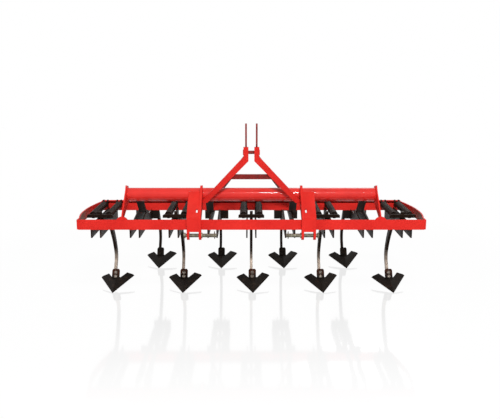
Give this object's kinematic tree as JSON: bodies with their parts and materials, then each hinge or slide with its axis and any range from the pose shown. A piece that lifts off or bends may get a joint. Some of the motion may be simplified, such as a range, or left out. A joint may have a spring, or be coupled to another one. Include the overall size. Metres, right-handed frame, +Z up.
{
  "type": "spring tine cultivator",
  "caption": "Tractor-mounted spring tine cultivator: two rows of curved sprung tines with duckfoot sweeps on an angle-iron frame with a three-point hitch.",
  "frame": {"origin": "middle of the whole machine's footprint at ground level", "axes": "+X across the machine to its own left-hand side in the direction of travel, -Y towards the tractor and hitch, +Z up"},
  "size_m": [2.0738, 1.1725, 1.118],
  "materials": {
    "red_paint": "glossy red enamel, a little dusty and chipped at edges",
    "black_paint": "semi-gloss black enamel",
    "spring_steel": "black painted spring wire",
    "bolt_steel": "dull steel fasteners",
    "pin_steel": "bare turned steel, slightly tarnished",
    "tine_steel": "black painted forged steel, worn bare at the foot",
    "sweep_steel": "black painted blade steel"
  },
  "bodies": {
    "frame": {"front_beam": "red_paint", "rear_beam": "red_paint", "side_bar_left": "red_paint", "side_bar_right": "red_paint", "top_pipe": "red_paint", "pipe_end_plates": "red_paint", "hitch_bracket_left": "red_paint", "hitch_bracket_right": "red_paint", "mast_leg_left": "red_paint", "mast_leg_right": "red_paint", "mast_stays": "red_paint", "mast_cross_bar": "red_paint", "top_link_plates": "red_paint", "pipe_struts": "black_paint", "front_row_cheeks": "black_paint", "carrier_cheeks": "black_paint", "rear_row_cheeks": "black_paint", "rear_gussets": "black_paint", "tine_stops": "black_paint", "spring_anchors": "black_paint", "springs_front": "spring_steel", "springs_rear": "spring_steel", "pivot_bolts": "bolt_steel", "mast_bolt": "bolt_steel", "hitch_pin_left": "pin_steel", "hitch_pin_right": "pin_steel"},
    "tine_body_1": {"tine_1": "tine_steel", "sweep_1": "sweep_steel"},
    "tine_body_2": {"tine_2": "tine_steel", "sweep_2": "sweep_steel"},
    "tine_body_3": {"tine_3": "tine_steel", "sweep_3": "sweep_steel"},
    "tine_body_4": {"tine_4": "tine_steel", "sweep_4": "sweep_steel"},
    "tine_body_5": {"tine_5": "tine_steel", "sweep_5": "sweep_steel"},
    "tine_body_6": {"tine_6": "tine_steel", "sweep_6": "sweep_steel"},
    "tine_body_7": {"tine_7": "tine_steel", "sweep_7": "sweep_steel"},
    "tine_body_8": {"tine_8": "tine_steel", "sweep_8": "sweep_steel"},
    "tine_body_9": {"tine_9": "tine_steel", "sweep_9": "sweep_steel"}
  },
  "joints": [
    {"name": "tine_trip_1", "type": "hinge", "parent": "frame", "child": "tine_body_1", "pos_m": [-0.914, -0.35229, 0.487], "axis": [1, 0, 0], "range_deg": [0, 12], "stiffness_Nm_per_rad": 400, "springref_deg": -34.38},
    {"name": "tine_trip_2", "type": "hinge", "parent": "frame", "child": "tine_body_2", "pos_m": [-0.457, -0.35229, 0.487], "axis": [1, 0, 0], "range_deg": [0, 12], "stiffness_Nm_per_rad": 400, "springref_deg": -34.38},
    {"name": "tine_trip_3", "type": "hinge", "parent": "frame", "child": "tine_body_3", "pos_m": [0, -0.35229, 0.487], "axis": [1, 0, 0], "range_deg": [0, 12], "stiffness_Nm_per_rad": 400, "springref_deg": -34.38},
    {"name": "tine_trip_4", "type": "hinge", "parent": "frame", "child": "tine_body_4", "pos_m": [0.457, -0.35229, 0.487], "axis": [1, 0, 0], "range_deg": [0, 12], "stiffness_Nm_per_rad": 400, "springref_deg": -34.38},
    {"name": "tine_trip_5", "type": "hinge", "parent": "frame", "child": "tine_body_5", "pos_m": [0.914, -0.35229, 0.487], "axis": [1, 0, 0], "range_deg": [0, 12], "stiffness_Nm_per_rad": 400, "springref_deg": -34.38},
    {"name": "tine_trip_6", "type": "hinge", "parent": "frame", "child": "tine_body_6", "pos_m": [-0.6855, 0.18771, 0.487], "axis": [1, 0, 0], "range_deg": [0, 12], "stiffness_Nm_per_rad": 400, "springref_deg": -34.38},
    {"name": "tine_trip_7", "type": "hinge", "parent": "frame", "child": "tine_body_7", "pos_m": [-0.2285, 0.18771, 0.487], "axis": [1, 0, 0], "range_deg": [0, 12], "stiffness_Nm_per_rad": 400, "springref_deg": -34.38},
    {"name": "tine_trip_8", "type": "hinge", "parent": "frame", "child": "tine_body_8", "pos_m": [0.2285, 0.18771, 0.487], "axis": [1, 0, 0], "range_deg": [0, 12], "stiffness_Nm_per_rad": 400, "springref_deg": -34.38},
    {"name": "tine_trip_9", "type": "hinge", "parent": "frame", "child": "tine_body_9", "pos_m": [0.6855, 0.18771, 0.487], "axis": [1, 0, 0], "range_deg": [0, 12], "stiffness_Nm_per_rad": 400, "springref_deg": -34.38}
  ]
}
